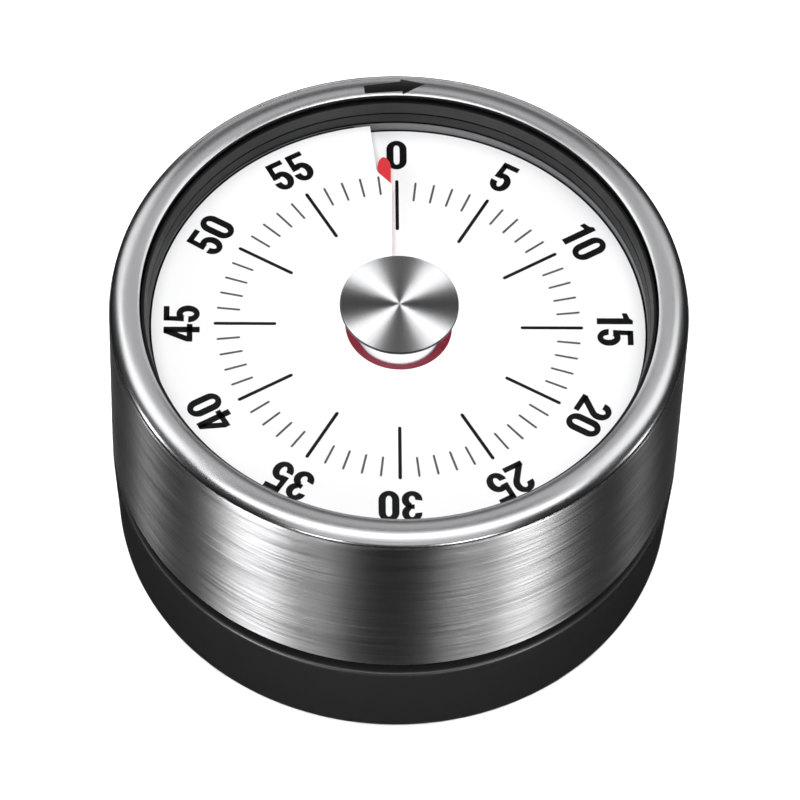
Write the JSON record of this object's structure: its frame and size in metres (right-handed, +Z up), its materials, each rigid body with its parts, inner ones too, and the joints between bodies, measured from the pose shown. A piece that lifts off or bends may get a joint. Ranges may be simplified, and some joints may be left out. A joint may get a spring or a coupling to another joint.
{
  "type": "kitchen timer",
  "caption": "Round wind-up kitchen timer: turning brushed steel housing with a rolled bezel over a black base, white slit dial with a red disc, and a spun metal knob.",
  "frame": {"origin": "centre of the resting face under the base", "axes": "+Z up along the housing's axis, +Y towards the dial's zero, +X towards fifteen minutes"},
  "size_m": [0.08, 0.08, 0.048],
  "materials": {
    "brushed_stainless": "brushed round the wall",
    "black_abs": "fine moulded texture",
    "black_inner": "matt",
    "dial_white": "satin printed sheet",
    "red_film": "satin",
    "clear_acrylic": "clear",
    "white_nylon": "glossy",
    "spun_knob": "spun",
    "plate_steel": "zinc plated",
    "spring_steel": "blued",
    "brass": "stamped",
    "bell_steel": "polished",
    "black_rubber": "matt",
    "magnet_nickel": "nickel plated"
  },
  "bodies": {
    "base": {"base_cup": "black_abs", "bottom_cover": "black_abs", "foot_ring": "black_rubber", "magnet_1": "magnet_nickel", "magnet_2": "magnet_nickel", "magnet_3": "magnet_nickel", "cover_screw_1": "plate_steel", "cover_screw_2": "plate_steel", "cover_screw_3": "plate_steel", "movement_screw_1": "plate_steel", "movement_screw_2": "plate_steel", "movement_screw_3": "plate_steel", "back_plate": "plate_steel", "front_plate": "plate_steel", "pillar_1": "plate_steel", "pillar_2": "plate_steel", "pillar_3": "plate_steel", "pillar_nut_1": "plate_steel", "pillar_nut_2": "plate_steel", "pillar_nut_3": "plate_steel", "mainspring": "spring_steel", "hairspring": "spring_steel", "bell_post": "plate_steel", "bell": "bell_steel", "bell_nut": "plate_steel", "tray_post_1": "plate_steel", "tray_post_2": "plate_steel", "tray_post_3": "plate_steel", "dial_tray": "black_inner", "dial": "dial_white"},
    "housing": {"housing_shell": "brushed_stainless", "housing_liner": "black_inner", "lens": "clear_acrylic", "lens_gasket": "black_inner", "knob": "spun_knob", "centre_boss": "white_nylon", "main_arbor": "plate_steel", "arbor_clip": "spring_steel", "ratchet_wheel": "plate_steel", "zero_cam": "plate_steel"},
    "red_disc": {"red_disc": "red_film"},
    "great_wheel": {"great_wheel": "brass", "click": "spring_steel", "click_spring": "spring_steel"},
    "second_wheel": {"second_arbor": "plate_steel", "second_wheel": "brass"},
    "third_wheel": {"third_arbor": "plate_steel", "third_wheel": "brass"},
    "escape_wheel": {"escape_arbor": "plate_steel", "escape_wheel": "brass"},
    "pallet_lever": {"pallet_lever": "brass", "pallet_arbor": "plate_steel"},
    "balance": {"balance_wheel": "brass", "balance_staff": "plate_steel"},
    "alarm_wheel": {"alarm_arbor": "plate_steel", "alarm_wheel": "plate_steel"},
    "hammer": {"hammer_arbor": "plate_steel", "hammer": "plate_steel"},
    "release_lever": {"release_lever": "plate_steel"}
  },
  "joints": [
    {"name": "housing_turn", "type": "hinge", "parent": "base", "child": "housing", "pos_m": [0, 0, 0], "axis": [0, 0, -1], "range_deg": [0, 348]},
    {"name": "red_disc_rise", "type": "slide", "parent": "housing", "child": "red_disc", "axis": [0, 0, 1], "range_m": [0, 0.0015]},
    {"name": "great_wheel_turn", "type": "hinge", "parent": "base", "child": "great_wheel", "pos_m": [0, 0, 0], "axis": [0, 0, -1], "range_deg": [0, 349]},
    {"name": "second_wheel_turn", "type": "hinge", "parent": "base", "child": "second_wheel", "pos_m": [-0.01353, -0.00493, 0], "axis": [0, 0, -1], "range_deg": [-2790, 6]},
    {"name": "third_wheel_turn", "type": "hinge", "parent": "base", "child": "third_wheel", "pos_m": [-0.00946, -0.01611, 0], "axis": [0, 0, -1], "range_deg": [-6, 20890]},
    {"name": "escape_wheel_turn", "type": "hinge", "parent": "base", "child": "escape_wheel", "pos_m": [0.00117, -0.01798, 0], "axis": [0, 0, -1], "range_deg": [-167060, 6]},
    {"name": "balance_swing", "type": "hinge", "parent": "base", "child": "balance", "pos_m": [0.01682, -0.01379, 0], "axis": [0, 0, 1], "range_deg": [-35, 35], "stiffness_Nm_per_rad": 0.0000025},
    {"name": "pallet_swing", "type": "hinge", "parent": "base", "child": "pallet_lever", "pos_m": [0.00813, -0.01612, 0], "axis": [0, 0, 1], "range_deg": [-6, 6]},
    {"name": "alarm_wheel_turn", "type": "hinge", "parent": "base", "child": "alarm_wheel", "pos_m": [-0.00973, 0.01062, 0], "axis": [0, 0, -1], "range_deg": [-2790, 6]},
    {"name": "hammer_swing", "type": "hinge", "parent": "base", "child": "hammer", "pos_m": [-0.0035, 0.0175, 0], "axis": [0, 0, 1], "range_deg": [-3, 3], "stiffness_Nm_per_rad": 0.002},
    {"name": "release_lever_swing", "type": "hinge", "parent": "base", "child": "release_lever", "pos_m": [-0.012, -0.006, 0], "axis": [0, 0, 1], "range_deg": [-3, 8], "stiffness_Nm_per_rad": 0.001}
  ],
  "couplings": [
    {"joint": "red_disc_rise", "follows": "housing_turn", "m_per_rad": 0.00023873},
    {"joint": "great_wheel_turn", "follows": "housing_turn", "ratio": 1},
    {"joint": "second_wheel_turn", "follows": "housing_turn", "ratio": -8},
    {"joint": "third_wheel_turn", "follows": "housing_turn", "ratio": 60},
    {"joint": "escape_wheel_turn", "follows": "housing_turn", "ratio": -480},
    {"joint": "alarm_wheel_turn", "follows": "housing_turn", "ratio": -8},
    {"joint": "pallet_swing", "follows": "balance_swing", "ratio": -0.16883}
  ]
}
